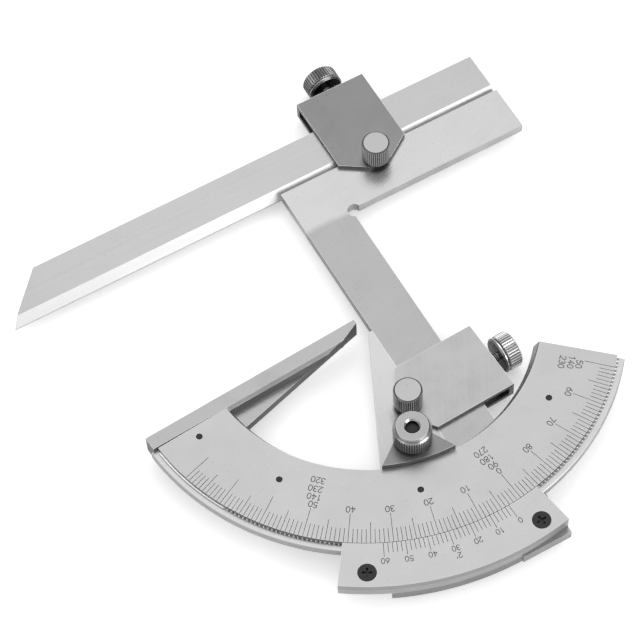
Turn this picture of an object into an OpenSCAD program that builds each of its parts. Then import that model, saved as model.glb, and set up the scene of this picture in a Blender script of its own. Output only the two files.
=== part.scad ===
/* [Reading] */
// Angle between the base rule and the straight rule, in degrees
reading = 3.3; // [-40:0.1:50]
// Swing of the lower clamp block about its nose screw, in degrees
lower_clamp_tilt = 2.6; // [0:0.1:4]

/* [Scale ring] */
// Outer radius of the scale plate
scale_r = 66.6; // [60:0.1:90]
// Radial width of the scale plate
ring_w = 20.7; // [18:0.1:24]
// Thickness of the scale plate
scale_t = 0.8; // [0.6:0.1:1.2]
// Thickness of the ring body below the gear segment
ring_t = 2.9; // [2.6:0.1:3.6]
// Thickness of the gear segment
gear_t = 0.6; // [0.5:0.1:0.8]
// Radial width of the land that the gear segment butts against
land_w = 4.2; // [3:0.1:5]
// How far the guide flange stands out beyond the scale plate
flange_w = 2; // [1.6:0.1:3]
// Height of the flange's underside above the ring body's underside
flange_lift = 0.3; // [0.1:0.1:0.6]
// How far the conical inner edge of the ring leans inwards
bevel_run = 1.5; // [0.8:0.1:2]
// Height of the straight part under the conical inner edge
bevel_foot = 1; // [0.5:0.1:2]
// Radial clearance where the ring slides on the sector's parts
run_gap = 0.1; // [0.05:0.01:0.15]
// Diameter of the scale plate's small screws
scale_screw_d = 1.7; // [1.6:0.1:2.4]
// How far the scale screws lie below the scale face
scale_screw_sink = 0.12; // [0:0.01:0.2]
// Angle of the narrow gap between the scale plate and the base rule, in degrees
plate_end_tilt = 0.8; // [0:0.1:1.5]
// Slant of the ring's far end against a radial line, in degrees
far_end_tilt = 1.8; // [0:0.1:3]

/* [Base rule] */
// Distance of the measuring face from the scale centre
base_face_off = 1; // [0.2:0.1:2]
// Width of the base rule's top face
base_w = 3.9; // [3:0.1:6]
// Height of the base rule
base_h = 6.2; // [5.4:0.1:7]
// Thickness of the web beside the base rule
web_t = 2.8; // [2.2:0.1:3.2]
// Distance from the scale centre to the tip of the base rule
tip_x = 3.6; // [3:0.1:6]
// Width of the blunt end at the tip
tip_w = 1.2; // [1:0.1:2]
// Length of the mitre that narrows the tip
mitre_len = 6.1; // [4:0.1:8]
// Slope of the web's free edge, in degrees
web_slope = 12.4; // [11:0.1:13]
// Width of the chamfer along the inner top edge
base_chamfer_w = 0.9; // [0.4:0.1:1.2]
// Depth of the chamfer along the inner top edge
base_chamfer_h = 0.8; // [0.4:0.1:1.2]
// Width of the tongue below the ring that carries the base screws
tongue_w = 5.4; // [4.6:0.1:6]
// Head diameter of the two base screws
base_screw_d = 3.2; // [2.6:0.1:3.6]
// How far the bar's outer end stays inside the flange's edge
bar_end_back = 0.8; // [0:0.1:1.5]

/* [Sector plate and vernier] */
// Thickness of the sector plate, the square and the straight rule
arm_t = 3; // [2.5:0.1:3.4]
// Opening angle of the sector plate, in degrees
sector_span = 25.4; // [24:0.1:30]
// How far the sector's corner is cut back from the scale centre
apex_cut = 2.4; // [1.6:0.1:4]
// Radial width of the vernier plate
vernier_w = 12.2; // [11:0.1:16]
// Thickness of the vernier plate
vernier_t = 2.2; // [1.8:0.1:2.4]
// Thickness of the vernier plate's thin lip over the flange
lip_t = 0.7; // [0.6:0.05:0.75]
// Gap between the scale plate's edge and the vernier plate
plate_slit = 0.16; // [0.05:0.01:0.25]
// Arc of the vernier plate before its zero line, in degrees
vernier_lead_deg = 7.8; // [6:0.1:10]
// Arc of the vernier plate after its zero line, in degrees
vernier_tail_deg = 37.9; // [34:0.1:42]
// Head diameter of the two vernier screws
vernier_screw_d = 4.9; // [4:0.1:5.4]
// Shank diameter of the vernier and carrier screws
screw_shank_d = 2; // [1.6:0.1:2.2]
// Head diameter of the two carrier screws in the back
carrier_screw_d = 3.6; // [3:0.1:4]

/* [Graduation] */
// Width of the engraved lines
line_w = 0.18; // [0.1:0.01:0.25]
// Depth of the engraved lines
line_d = 0.06; // [0.04:0.01:0.12]
// Length of a one degree line
line_short = 3.9; // [3:0.1:5]
// Length of a five degree line
line_mid = 5.9; // [5:0.1:7]
// Length of a ten degree line
line_long = 8.1; // [7:0.1:9]
// Length of a vernier line
vernier_short = 2.8; // [2:0.1:3.4]
// Length of every fifth vernier line
vernier_long = 3.9; // [3:0.1:4.5]
// Direction of the zero line measured from the base rule, in degrees
zero_dir = -87.4; // [-90:0.1:-85]

/* [Fine adjustment] */
// Teeth on a full circle of the gear segment
ring_teeth = 360; // [360]
// Teeth on the pinion
pinion_teeth = 16; // [15:1:18]
// Diameter of the pinion's shaft
shaft_d = 1.8; // [1.6:0.1:2]
// Outer diameter of the pinion's bush
bush_d = 3.6; // [3:0.1:4]
// Diameter of the knurled knob on the back
back_knob_d = 12; // [9:0.5:14]
// Thickness of the knurled knob on the back
back_knob_t = 2.7; // [2:0.1:4]

/* [Brake] */
// Distance of the brake stud from the ring's inner edge
stud_back = 4.9; // [4:0.1:6]
// Angle of the stud past the sector's straight edge, in degrees
stud_turn_deg = 12.8; // [11:0.1:14.5]
// Diameter of the brake stud
stud_d = 3.4; // [3:0.1:4]
// Height of the brake shoe above the scale face
shoe_rise = 1.9; // [1:0.1:3]
// Diameter of the brake nut over its knurl
nut_d = 10.3; // [9:0.1:11]
// Height of the brake nut
nut_h = 6.5; // [5:0.1:8]

/* [Square] */
// Distance of the square's outer edge from the scale centre
square_reach = 47.7; // [45:0.1:60]
// Length of the arm that slides on the sector plate
square_len = 127; // [120:0.5:140]
// Length of the arm that carries the straight rule
cross_len = 68.9; // [60:0.1:90]
// Width of the arm that slides on the sector plate
slide_w = 14.2; // [13:0.1:16]
// Width of the arm that carries the straight rule
cross_w = 13.9; // [13:0.1:16]
// Diameter of the relief hole in the inner corner
relief_d = 3.9; // [2:0.1:5]

/* [Straight rule] */
// Length of the straight rule along its measuring edge
rule_len = 150; // [120:1:200]
// Width of the straight rule
rule_w = 13.6; // [12:0.1:16]
// How far the straight rule stands past the end of the square
rule_past = -0.5; // [-10:0.5:10]
// Width of the bevel beside the measuring edge
knife_w = 2.1; // [1.4:0.1:3]
// Height of the flat left on the measuring edge
knife_land = 0.5; // [0.3:0.1:1]
// Length of the slanted end
rule_slant = 12.4; // [8:0.1:16]

/* [Clamp blocks] */
// Width of a clamp block
clamp_w = 21; // [18:0.1:24]
// Thickness of a clamp block's front plate
front_t = 1.2; // [1:0.1:1.8]
// Thickness of a clamp block's back plate
back_t = 1.1; // [0.9:0.1:1.6]
// Thickness of a clamp block's end wall
wall_t = 1.4; // [1.2:0.1:2]
// Distance from the guided edge to the nose screw
nose_reach = 3; // [2.6:0.1:4]
// Length of the nose in front of the nose screw
nose_front = 2.3; // [1.6:0.1:3]
// Width of the blunt nose
nose_w = 6.7; // [5:0.1:9]
// Length of the slanted flanks of the nose
nose_flank = 4.8; // [3:0.1:6]
// Thickness of a pressure bar
bar_t = 4.4; // [3:0.1:5]
// Length of a pressure bar
bar_len = 18; // [12:0.5:18]
// Free space behind a pressure bar
bar_room = 2.8; // [2:0.1:4]
// Clearance between a clamp slot and the arms in it
slot_gap = 0.05; // [0.02:0.01:0.1]
// Gap between the lower clamp block's corner and the ring's inner edge
clamp_gap = 0.8; // [0.4:0.1:1.2]
// Distance of the upper nose screw from the square's outer corner
upper_clamp_x = 28.4; // [14:0.1:50]

/* [Thumb screws] */
// Diameter of the nose knobs over their knurl
nose_knob_d = 7.8; // [7:0.1:8.4]
// Height of the nose knobs
nose_knob_h = 6.5; // [5:0.1:8]
// Diameter of the side knobs over their knurl
side_knob_d = 10.1; // [9:0.1:10.6]
// Length of the side knobs
side_knob_len = 5; // [4:0.1:5.6]
// Gap between a clamp block and its side knob
side_neck = 1.8; // [1.5:0.1:2.2]
// Diameter of the threaded stems
stem_d = 2.4; // [2:0.1:2.6]
// Number of knurl ridges round a nose knob
knurl_n = 40; // [24:2:60]
// Depth of the knurl
knurl_d = 0.28; // [0.15:0.01:0.35]

/* [Hidden] */
$fn = 96;
// One overrun serves every cut
over = 1;
// Clearances: flat seats, turned fits, rounds kept apart
seat = 0.02;
fit = 0.05;
apart = 0.3;
// Heights above the back face
arm_top = arm_t;
ring_z = arm_t + run_gap;
gear_z = ring_z + ring_t;
plate_z = gear_z + gear_t;
scale_z = plate_z + scale_t;
flange_z = ring_z + flange_lift;
vernier_z = scale_z - vernier_t;
lip_z = scale_z - lip_t;
base_z = scale_z - base_h;
web_z = base_z + web_t;
shoe_z = arm_top + apart;
shoe_top = scale_z + shoe_rise;
nut_z = shoe_top + seat;
nut_top = nut_z + nut_h;
// Radii about the scale centre
ring_in = scale_r - ring_w;
ring_low = ring_in - bevel_run;
stud_r = ring_low - stud_back;
land_r = ring_in + land_w;
flange_r = scale_r + flange_w;
bar_end_r = flange_r - bar_end_back;
vernier_in = scale_r + plate_slit;
carrier_in = flange_r + apart;
vernier_r = scale_r + vernier_w;
// Gear mesh
tooth_add_share = 0.8;
tooth_ded_share = 1.05;
tooth_tip_share = 0.16;
tooth_root_share = 0.62;
mesh_slack_share = 0.3;
pitch_rise_share = 0.3;
pitch_r = scale_r + pitch_rise_share * gear_t;
gear_module = 2 * pitch_r / ring_teeth;
pinion_r = gear_module * pinion_teeth / 2;
pinion_off = pitch_r + pinion_r + mesh_slack_share * gear_module;
pinion_dir = zero_dir - 15;
pinion_tip = pinion_r + tooth_add_share * gear_module;
segment_r = pitch_r + tooth_add_share * gear_module;
pinion_z = gear_z + fit;
pinion_t = gear_t - fit;
pocket_r = pinion_tip + apart;
bush_r = bush_d / 2;
shaft_r = shaft_d / 2;
// Scale screws: angle on the scale in degrees, radius as a share of the scale's
scale_screw_deg = [-26, 21, 60.7, 86.2];
scale_screw_shares = [0.802, 0.802, 0.802, 0.845];
scale_screw_shank = 0.7 * scale_screw_d / 2;
// Ends of the scale in degrees on the scale
scale_end = -43.9;
scale_start = 94;
scale_first = -40;
scale_last = 80;
// Teeth of the gear segment, counted along the scale; a plain rim carries on to the base rule
tooth_first = ceil((scale_end + 0.5) * ring_teeth / 360);
tooth_last = floor(68 * ring_teeth / 360);
rim_last = floor(89 * ring_teeth / 360);
arc_steps = 32;
vernier_parts = 30;
vernier_arc = 29;
// Base rule corners
bar_in_y = base_face_off - base_w;
tip_in_y = base_face_off - tip_w;
bar_foot_share = 0.5;
plate_gap = fit;
tongue_lap = tongue_w / 2;
base_screw_shares = [0.76, 0.92];
// Screws that hold the vernier plate and its carrier
vernier_screw_share = 0.6;
vernier_screw_r = carrier_in + vernier_screw_share * (vernier_r - carrier_in);
vernier_screw_deg = [zero_dir + 3.6, zero_dir - 32.5];
carrier_screw_deg = [-94.5, -111];
head_cone_share = 0.5;
recess_share = 0.28;
// Brake
stud_a = -90 - stud_turn_deg;
stud_rad = stud_d / 2;
stud_recess = 1.5;
shoe_apex_back = 2.8;
shoe_apex_r = stud_r - shoe_apex_back;
shoe_lap_deg = 0.2;
shoe_half_span = sector_span / 2 - shoe_lap_deg;
shoe_tip_r = 2.1;
shoe_tip_deg = [-50 : 20 : 50];
// Clamp block layout: the nose screw is the origin, the end wall is at +X
bar_play = 0.4;
clamp_depth = nose_reach + slide_w + bar_play + bar_t + bar_room + wall_t;
lower_clamp_y = sqrt(pow(ring_low - clamp_gap, 2) - pow(clamp_depth - nose_reach, 2)) - clamp_w / 2;
slot_low = -slot_gap;
slot_top = arm_t + slot_gap;
front_z = slot_top + front_t;
stem_r = stem_d / 2;
stem_z = arm_t / 2;
lower_bar_x = nose_reach + slide_w + bar_len / 2 * sin(lower_clamp_tilt) + 2 * fit;
upper_bar_x = nose_reach + rule_w + 2 * fit;
bar_slack = 3 * fit;
knob_lift = 2 * fit;
tip_share = 0.5;
tip_len = stem_d * 0.4;
rim_share = 0.09;
nose_rim_share = 0.14;
nose_rim_slope = 0.6;
collar_share = 0.14;
groove_share = 0.06;

// Everything on the sector turns by the reading about the scale centre
module on_sector() { rotate([0, 0, -reading]) children(); }

// A point at a radius and a direction in degrees
function polar(r, a) = [r * cos(a), r * sin(a)];

// Direction on the object of a line that reads deg on the scale
function scale_dir(deg) = zero_dir - deg;

// A stretch of ring with the given radial section, from angle a to angle b
module ring_arc(a, b, section) {
    rotate([0, 0, a])
        rotate_extrude(angle = b - a, $fn = 360)
            polygon(section);
}

// A screw with a countersunk head whose face lies at the origin, pointing
// down; the hole for it rises past that face
module countersunk(head_r, shank_r, len, rise = 0) {
    head_h = head_r * head_cone_share;
    rotate_extrude()
        polygon([[0, rise], [head_r, rise], [head_r, -head_h / 2], [shank_r, -head_h], [shank_r, -len], [0, -len]]);
}

// Crossed driver recess in a screw head's face
module cross_recess(head_r) {
    slot_w = head_r * recess_share;
    for (a = [0, 90])
        rotate([0, 0, a])
            translate([-head_r * 2 * recess_share, -slot_w / 2, -head_r * recess_share])
                cube([head_r * 4 * recess_share, slot_w, head_r]);
}

// Straight knurl as a star shaped prism
module knurl(r, h, n) {
    linear_extrude(h)
        polygon([for (i = [0 : 2 * n - 1]) polar(i % 2 == 0 ? r : r - knurl_d, 180 * i / n)]);
}

// A plain knurled knob standing on z = 0, with bevelled rims
module plain_knob(d, h, n, top_share, top_slope) {
    r = d / 2;
    rim = r * rim_share;
    top_rim = r * top_share;
    intersection() {
        knurl(r, h, n);
        rotate_extrude()
            polygon([[0, 0], [r - rim, 0], [r + rim, 2 * rim], [r + top_rim, h - 2 * top_rim * top_slope],
                     [r - top_rim, h], [0, h]]);
    }
}

// A knurled knob with a plain collar and a groove at its inner end
module collar_knob(d, h, n) {
    r = d / 2;
    rim = d * rim_share / 2;
    collar_h = h * collar_share;
    body_z = collar_h + h * groove_share;
    union() {
        rotate_extrude()
            polygon([[0, 0], [r - rim, 0], [r, rim], [r, collar_h],
                     [r - 2 * rim, collar_h], [r - 2 * rim, body_z + rim], [0, body_z + rim]]);
        translate([0, 0, body_z])
            intersection() {
                knurl(r, h - body_z, n);
                rotate_extrude()
                    polygon([[0, 0], [r - rim, 0], [r + rim, 2 * rim], [r + rim, h - body_z - 2 * rim],
                             [r - rim, h - body_z], [0, h - body_z]]);
            }
    }
}

// Space beside the base rule that the ring and the scale plate stay out of
module beside_base(gap, tilt) {
    translate([-ring_low, bar_in_y - gap, -over])
        rotate([0, 0, tilt])
            translate([-flange_r, 0, 0])
                cube([2 * flange_r, flange_r, scale_z + 2 * over]);
}

// Space past the slanted far end of the ring
module past_far_end() {
    rotate([0, 0, scale_dir(scale_end)])
        translate([ring_low - over, 0, -over])
            rotate([0, 0, -far_end_tilt])
                cube([2 * flange_r, flange_r, scale_z + 2 * over]);
}

// Where each scale screw goes
module at_scale_screws() {
    for (i = [0 : len(scale_screw_deg) - 1])
        rotate([0, 0, scale_dir(scale_screw_deg[i])])
            translate([scale_r * scale_screw_shares[i], 0, 0])
                children();
}

// Where each base screw goes, under the tongue
module at_base_screws() {
    for (s = base_screw_shares)
        translate([-scale_r * s, bar_in_y - tongue_w / 2, 0])
            children();
}

// Main ring: it carries the scale, guides the sector and holds the base rule
module ring_body() {
    section = [[ring_low, ring_z], [scale_r, ring_z], [scale_r, flange_z], [flange_r - flange_lift, flange_z],
               [flange_r, flange_z + flange_lift], [flange_r, gear_z - flange_lift / 2],
               [flange_r - flange_lift / 2, gear_z], [land_r, gear_z], [land_r, plate_z],
               [ring_in - bevel_run * scale_t / (scale_z - ring_z - bevel_foot), plate_z],
               [ring_low, ring_z + bevel_foot]];
    color("silver")
    difference() {
        ring_arc(scale_dir(scale_start), scale_dir(scale_end), section);
        beside_base(0, 0);
        past_far_end();
        at_scale_screws()
            translate([0, 0, ring_z + flange_lift])
                cylinder(r = scale_screw_shank, h = scale_z);
        at_base_screws()
            translate([0, 0, ring_z - over])
                cylinder(r = screw_shank_d / 2, h = ring_t / 2 + over);
    }
}

// One radial tooth of the gear segment in plan
function ring_tooth(i, r) = let (
        step = 360 / ring_teeth,
        a = i * step)
    [polar(r - tooth_ded_share * gear_module, a - step * tooth_root_share / 2),
     polar(r + tooth_add_share * gear_module, a - step * tooth_tip_share / 2),
     polar(r + tooth_add_share * gear_module, a + step * tooth_tip_share / 2),
     polar(r - tooth_ded_share * gear_module, a + step * tooth_root_share / 2)];

// Gear segment between the ring body and the scale plate
module gear_segment() {
    step = 360 / ring_teeth;
    color("darkgray")
    difference() {
        translate([0, 0, gear_z])
            linear_extrude(gear_t)
                rotate([0, 0, zero_dir])
                    polygon(concat(
                        [for (i = [rim_last : -1 : tooth_last + 1]) polar(segment_r, -i * step)],
                        [for (i = [tooth_last : -1 : tooth_first]) each ring_tooth(-i, pitch_r)],
                        [for (i = [0 : arc_steps]) polar(land_r + plate_gap,
                            -tooth_first * step - (rim_last - tooth_first) * step * i / arc_steps)]));
        at_scale_screws()
            cylinder(r = scale_screw_shank, h = scale_z);
        beside_base(plate_gap, 0);
        past_far_end();
    }
}

// One engraved radial line whose outer end lies on radius r
module engraved_line(r, len, z) {
    translate([r - len, -line_w / 2, z - line_d])
        cube([len + over, line_w, line_d + over]);
}

// Graduated scale plate
module scale_plate() {
    section = [[ring_in - bevel_run * scale_t / (scale_z - ring_z - bevel_foot), plate_z], [scale_r, plate_z],
               [scale_r, scale_z], [ring_in, scale_z]];
    color("lightgray")
    difference() {
        ring_arc(scale_dir(scale_start), scale_dir(scale_end), section);
        beside_base(plate_gap, plate_end_tilt);
        past_far_end();
        at_scale_screws()
            cylinder(r = scale_screw_d / 2 + fit, h = scale_z + over);
        for (deg = [scale_first : 1 : scale_last])
            rotate([0, 0, scale_dir(deg)])
                engraved_line(scale_r, deg % 10 == 0 ? line_long : deg % 5 == 0 ? line_mid : line_short, scale_z);
    }
}

// Four small screws that hold the scale plate and the gear segment
module scale_screws() {
    color("dimgray")
    at_scale_screws()
        translate([0, 0, ring_z + flange_lift])
            union() {
                cylinder(r = scale_screw_shank - seat, h = plate_z - ring_z);
                translate([0, 0, plate_z - ring_z - flange_lift])
                    cylinder(r = scale_screw_d / 2, h = scale_t - scale_screw_sink);
            }
}

// Plan outline of the web's free edge, from the tip to the ring
module web_plan() {
    run = flange_r - tip_x;
    polygon([[-tip_x, base_face_off], [-tip_x, tip_in_y], [-tip_x - run, tip_in_y - run * tan(web_slope)],
             [-tip_x - run, base_face_off]]);
}

// Plan of the bar above the web, with the mitre of the tip
module bar_plan() {
    polygon([[-tip_x, base_face_off], [-tip_x, tip_in_y], [-tip_x - mitre_len, bar_in_y],
             [-flange_r, bar_in_y], [-flange_r, base_face_off]]);
}

// Chamfer and foot along the bar's inner side; they run out behind the mitre
module bar_foot() {
    bar_foot_y = bar_in_y - base_chamfer_w - bar_foot_share * base_chamfer_w;
    difference() {
        translate([-tip_x - mitre_len, 0, 0])
            rotate([0, -90, 0])
                linear_extrude(flange_r)
                    polygon([[scale_z, bar_in_y], [scale_z - base_chamfer_h, bar_in_y - base_chamfer_w],
                             [web_z, bar_foot_y], [web_z, bar_in_y]]);
        translate([-tip_x - mitre_len - tip_w, bar_in_y, base_z])
            rotate([0, 0, 180 + web_slope])
                translate([-4 * tip_w, 0, 0])
                    cube([flange_r, 4 * base_w, base_h + over]);
    }
}

// Base rule: the fixed measuring arm with its web and its tongue
module base_rule() {
    // distance of the place where the web's free edge passes under the bar's inner side
    under_x = tip_x + (tip_in_y - bar_in_y) / tan(web_slope);
    color("gainsboro")
    difference() {
        union() {
            // the bar, rounded off along the flange
            intersection() {
                union() {
                    translate([0, 0, web_z])
                        linear_extrude(base_h - web_t)
                            bar_plan();
                    translate([-flange_r, bar_in_y, base_z])
                        cube([flange_r - under_x - base_w, base_w, base_h - base_chamfer_h]);
                }
                cylinder(r = bar_end_r, h = scale_z + over, $fn = 360);
            }
            // the foot reaches the ring's conical inner edge
            intersection() {
                bar_foot();
                rotate_extrude($fn = 360)
                    polygon([[0, base_z], [ring_low - fit, base_z], [ring_low - fit, ring_z + bevel_foot],
                             [ring_in - fit, scale_z], [0, scale_z]]);
            }
            // the web, up to the ring's inner edge
            intersection() {
                translate([0, 0, base_z])
                    linear_extrude(web_t)
                        web_plan();
                cylinder(r = ring_low - fit, h = scale_z, $fn = 360);
            }
            // the tongue under the ring
            intersection() {
                translate([-flange_r, bar_in_y - tongue_w, base_z])
                    cube([flange_r - ring_low + tongue_lap, tongue_w, ring_z - base_z]);
                cylinder(r = scale_r, h = scale_z, $fn = 360);
            }
        }
        at_base_screws()
            translate([0, 0, base_z])
                mirror([0, 0, 1])
                    countersunk(base_screw_d / 2 + fit, screw_shank_d / 2, base_h, over);
    }
}

// Two screws that hold the base rule to the ring from behind
module base_screws() {
    color("dimgray")
    at_base_screws()
        translate([0, 0, base_z])
            mirror([0, 0, 1])
                difference() {
                    countersunk(base_screw_d / 2, screw_shank_d / 2 - seat, ring_z - base_z + ring_t / 2 - fit);
                    cross_recess(base_screw_d / 2);
                }
}

// Where the pinion turns
module at_pinion() {
    rotate([0, 0, pinion_dir])
        translate([pinion_off, 0, 0])
            children();
}

// Where each carrier screw goes
module at_carrier_screws() {
    for (a = carrier_screw_deg)
        rotate([0, 0, a])
            translate([vernier_screw_r, 0, 0])
                children();
}

// Where each vernier screw goes
module at_vernier_screws() {
    for (a = vernier_screw_deg)
        rotate([0, 0, a])
            translate([vernier_screw_r, 0, 0])
                children();
}

// Where the brake stud stands
module at_stud() {
    rotate([0, 0, stud_a])
        translate([stud_r, 0, 0])
            children();
}

// Sector plate: its straight edge guides the square and passes through the scale centre
module sector_plate() {
    color("gainsboro")
    on_sector()
        difference() {
            intersection() {
                ring_arc(-90 - sector_span, -90, [[0, 0], [vernier_r, 0], [vernier_r, arm_t], [0, arm_t]]);
                translate([-2 * vernier_r, -2 * vernier_r - apex_cut, -over])
                    cube([2 * vernier_r, 2 * vernier_r, arm_t + 2 * over]);
            }
            at_pinion()
                translate([0, 0, -over])
                    cylinder(r = bush_r, h = arm_t + 2 * over);
            at_stud()
                translate([0, 0, arm_t])
                    mirror([0, 0, 1])
                        translate([0, 0, -over])
                            cylinder(r = stud_rad, h = arm_t + 2 * over);
            at_stud()
                mirror([0, 0, 1])
                    countersunk(stud_rad * 1.4, stud_rad, arm_t, over);
            at_carrier_screws()
                mirror([0, 0, 1])
                    countersunk(carrier_screw_d / 2 + fit, screw_shank_d / 2, arm_t + over, over);
        }
}

// Carrier: the spacer that lifts the vernier plate to the level of the scale
module vernier_carrier() {
    color("silver")
    on_sector()
        difference() {
            ring_arc(zero_dir - vernier_tail_deg, zero_dir + vernier_lead_deg,
                     [[carrier_in, arm_t], [vernier_r, arm_t], [vernier_r, vernier_z], [carrier_in, vernier_z]]);
            translate([0, -2 * vernier_r, 0])
                cube([vernier_r, 2 * vernier_r, arm_t + slot_gap]);
            at_pinion()
                cylinder(r = bush_r, h = scale_z);
            at_carrier_screws()
                cylinder(r = screw_shank_d / 2, h = vernier_z - seat);
            at_vernier_screws()
                cylinder(r = screw_shank_d / 2, h = scale_z);
        }
}

// Vernier plate with a thin lip over the ring's flange
module vernier_plate() {
    section = [[vernier_in, lip_z], [carrier_in, lip_z], [carrier_in, vernier_z], [vernier_r, vernier_z],
               [vernier_r, scale_z], [vernier_in, scale_z]];
    color("lightgray")
    on_sector()
        difference() {
            ring_arc(zero_dir - vernier_tail_deg, zero_dir + vernier_lead_deg, section);
            at_pinion()
                cylinder(r = pocket_r, h = lip_z);
            at_vernier_screws()
                translate([0, 0, scale_z])
                    countersunk(vernier_screw_d / 2 + fit, screw_shank_d / 2, vernier_t + over, over);
            for (k = [0 : vernier_parts])
                rotate([0, 0, zero_dir - k * vernier_arc / vernier_parts])
                    translate([vernier_in - over, -line_w / 2, scale_z - line_d])
                        cube([(k % 5 == 0 ? vernier_long : vernier_short) + over, line_w, line_d + over]);
        }
}

// Two cross recessed screws that hold the vernier plate
module vernier_screws() {
    color("dimgray")
    on_sector()
        at_vernier_screws()
            translate([0, 0, scale_z])
                difference() {
                    countersunk(vernier_screw_d / 2, screw_shank_d / 2 - seat, vernier_t + arm_t / 2);
                    cross_recess(vernier_screw_d / 2);
                }
}

// Two screws in the back of the sector plate that hold the carrier
module carrier_screws() {
    color("dimgray")
    on_sector()
        at_carrier_screws()
            mirror([0, 0, 1])
                difference() {
                    countersunk(carrier_screw_d / 2, screw_shank_d / 2 - seat, vernier_z - 2 * fit);
                    cross_recess(carrier_screw_d / 2);
                }
}

// Bush in the sector plate that the pinion turns in
module pinion_bush() {
    color("goldenrod")
    on_sector()
        at_pinion()
            difference() {
                cylinder(r = bush_r - seat, h = arm_t);
                translate([0, 0, -over])
                    cylinder(r = shaft_r + fit, h = arm_t + 2 * over);
            }
}

// Plan of the pinion's teeth, in mesh with the gear segment at this reading
module pinion_plan() {
    step = 360 / pinion_teeth;
    // turn of the pinion that sets a tooth space against the ring tooth at this place
    ring_phase = (pinion_dir - zero_dir - reading) * ring_teeth / 360;
    turn = 180 + step / 2 + step * (ring_phase - floor(ring_phase));
    rotate([0, 0, turn])
        polygon([for (i = [0 : pinion_teeth - 1]) each [
            polar(pinion_r - tooth_ded_share * gear_module, step * (i - tooth_root_share / 2)),
            polar(pinion_tip, step * (i - tooth_tip_share / 2)),
            polar(pinion_tip, step * (i + tooth_tip_share / 2)),
            polar(pinion_r - tooth_ded_share * gear_module, step * (i + tooth_root_share / 2))]]);
}

// Pinion and its shaft
module pinion() {
    color("darkgray")
    on_sector()
        at_pinion()
            union() {
                translate([0, 0, pinion_z])
                    linear_extrude(pinion_t)
                        pinion_plan();
                translate([0, 0, -back_knob_t + 2 * fit])
                    cylinder(r = shaft_r, h = pinion_z + back_knob_t - fit);
            }
}

// Knurled knob on the back that turns the pinion
module back_knob() {
    color("silver")
    on_sector()
        at_pinion()
            difference() {
                translate([0, 0, -2 * fit])
                    mirror([0, 0, 1])
                        plain_knob(back_knob_d, back_knob_t, knurl_n * 3 / 2, rim_share, 1);
                translate([0, 0, -back_knob_t + fit])
                    cylinder(r = shaft_r + seat, h = back_knob_t + over);
            }
}

// Stud that the brake nut turns on
module brake_stud() {
    color("dimgray")
    on_sector()
        at_stud()
            union() {
                mirror([0, 0, 1])
                    countersunk(stud_rad * 1.4 - seat, stud_rad - seat, arm_t);
                cylinder(r = stud_rad - seat, h = nut_top - stud_recess);
            }
}

// Brake shoe: its conical rim presses on the ring's inner edge
module brake_shoe() {
    low_r = ring_low - fit;
    top_r = ring_in - fit;
    mid = -90 - sector_span / 2;
    apex = polar(shoe_apex_r, stud_a);
    left = polar(ring_in + over, mid - shoe_half_span);
    right = polar(ring_in + over, mid + shoe_half_span);
    left_in = polar(ring_in, mid - shoe_half_span);
    right_in = polar(ring_in, mid + shoe_half_span);
    color("darkgray")
    on_sector()
        difference() {
            intersection() {
                rotate_extrude($fn = 360)
                    polygon([[0, shoe_z], [low_r, shoe_z], [low_r, ring_z + bevel_foot],
                             [top_r, scale_z], [top_r, shoe_top], [0, shoe_top]]);
                linear_extrude(shoe_top + over)
                    polygon(concat([left, left_in],
                                   [for (t = shoe_tip_deg) apex + polar(shoe_tip_r, stud_a + 180 - t)],
                                   [right_in, right]));
            }
            at_stud()
                cylinder(r = stud_rad + fit, h = shoe_top + over);
        }
}

// Knurled brake nut with a chamfered hole
module brake_nut() {
    r = nut_d / 2;
    step = nut_d * rim_share / 2;
    bore = stud_rad + fit;
    color("silver")
    on_sector()
        at_stud()
            translate([0, 0, nut_z])
                difference() {
                    intersection() {
                        knurl(r, nut_h, knurl_n * 6 / 5);
                        rotate_extrude()
                            polygon([[0, 0], [r - 2 * step, 0], [r + step, 3 * step], [r + step, nut_h - 4 * step],
                                     [r - step, nut_h - 2 * step], [r - 1.4 * step, nut_h - step],
                                     [r - 2 * step, nut_h], [0, nut_h]]);
                    }
                    translate([0, 0, -over])
                        cylinder(r = bore, h = nut_h + 2 * over);
                    translate([0, 0, nut_h - step])
                        cylinder(r1 = bore, r2 = bore + step, h = step + seat);
                }
}

// Clamp block: a front plate with a nose, an end wall and a back plate
module clamp_block() {
    hw = clamp_w / 2;
    plan = [[-nose_front, -nose_w / 2], [nose_flank - nose_front, -hw], [clamp_depth, -hw],
            [clamp_depth, hw], [nose_flank - nose_front, hw], [-nose_front, nose_w / 2]];
    difference() {
        translate([0, 0, slot_low - back_t])
            linear_extrude(back_t + slot_top - slot_low + front_t)
                polygon(plan);
        translate([-nose_front - over, -hw - over, slot_low])
            cube([clamp_depth - wall_t + nose_front + over, clamp_w + 2 * over, slot_top - slot_low]);
        translate([0, 0, slot_top - over])
            cylinder(r = stem_r + fit, h = front_t + 2 * over);
        translate([clamp_depth - wall_t - over, 0, stem_z])
            rotate([0, 90, 0])
                cylinder(r = stem_r + fit, h = wall_t + 2 * over);
    }
}

// Nose screw: a knurled knob on a threaded stem that stands on the arm below it
module nose_screw() {
    union() {
        translate([0, 0, arm_top + seat])
            cylinder(r = stem_r, h = front_z + knob_lift - arm_top + seat);
        translate([0, 0, front_z + knob_lift])
            plain_knob(nose_knob_d, nose_knob_h, knurl_n, nose_rim_share, nose_rim_slope);
    }
}

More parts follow.
